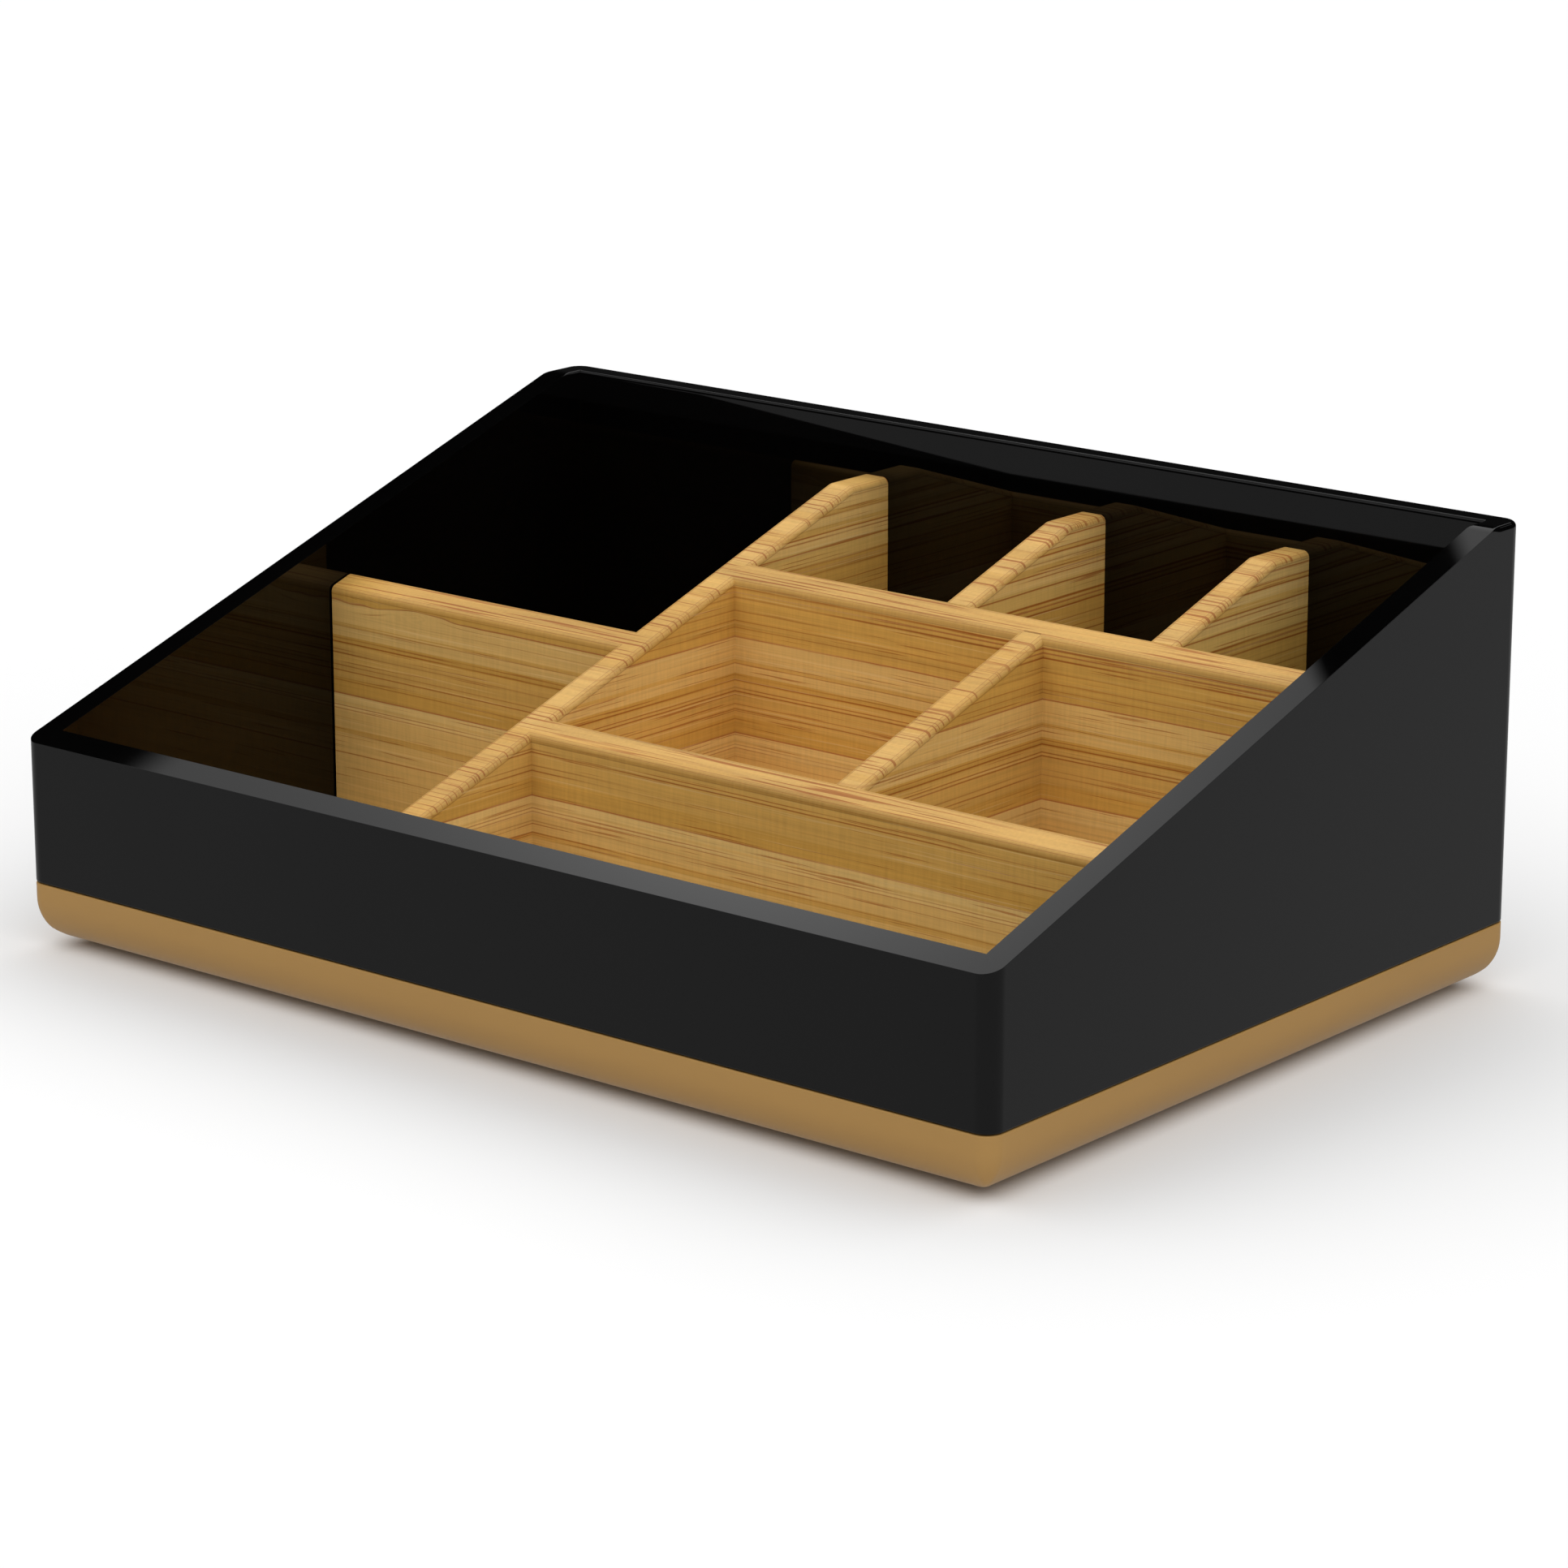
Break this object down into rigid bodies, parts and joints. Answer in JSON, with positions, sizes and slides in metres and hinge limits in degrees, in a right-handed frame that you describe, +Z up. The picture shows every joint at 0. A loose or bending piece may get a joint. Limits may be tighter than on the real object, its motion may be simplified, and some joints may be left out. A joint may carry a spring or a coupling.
{
  "type": "tabletop organizer",
  "caption": "Wedge-shaped tabletop organizer: black box with a sloped rim on a tan base, and a lift-out wood divider grid that makes open compartments.",
  "frame": {"origin": "on the table, in the middle of the footprint, level with the undersides of the feet", "axes": "+X along the front to the right, +Y from the low front to the high back, +Z up"},
  "size_m": [0.262, 0.18, 0.101],
  "materials": {
    "gloss_black": "polished black, mirror-like inside",
    "tan_lacquer": "smooth satin tan lacquer",
    "floor_wood": "satin pale wood with fine long grain",
    "divider_wood": "satin pale wood with fine long grain and red-brown lines",
    "screw_steel": "plain steel",
    "foot_rubber": "matt black"
  },
  "bodies": {
    "case": {"outer_shell": "gloss_black", "base_board": "tan_lacquer", "floor_panel": "floor_wood", "base_screw_front_left": "screw_steel", "base_screw_front_right": "screw_steel", "base_screw_rear_left": "screw_steel", "base_screw_rear_right": "screw_steel", "foot_front_left": "foot_rubber", "foot_front_right": "foot_rubber", "foot_rear_left": "foot_rubber", "foot_rear_right": "foot_rubber"},
    "divider_grid": {"long_divider": "divider_wood", "left_cross_divider": "divider_wood", "front_cross_divider": "divider_wood", "rear_cross_divider": "divider_wood", "middle_short_divider": "divider_wood", "rear_short_divider_left": "divider_wood", "rear_short_divider_right": "divider_wood"}
  },
  "joints": [
    {"name": "grid_lift", "type": "slide", "parent": "case", "child": "divider_grid", "axis": [0, 0, 1], "range_m": [0, 0.09]}
  ]
}
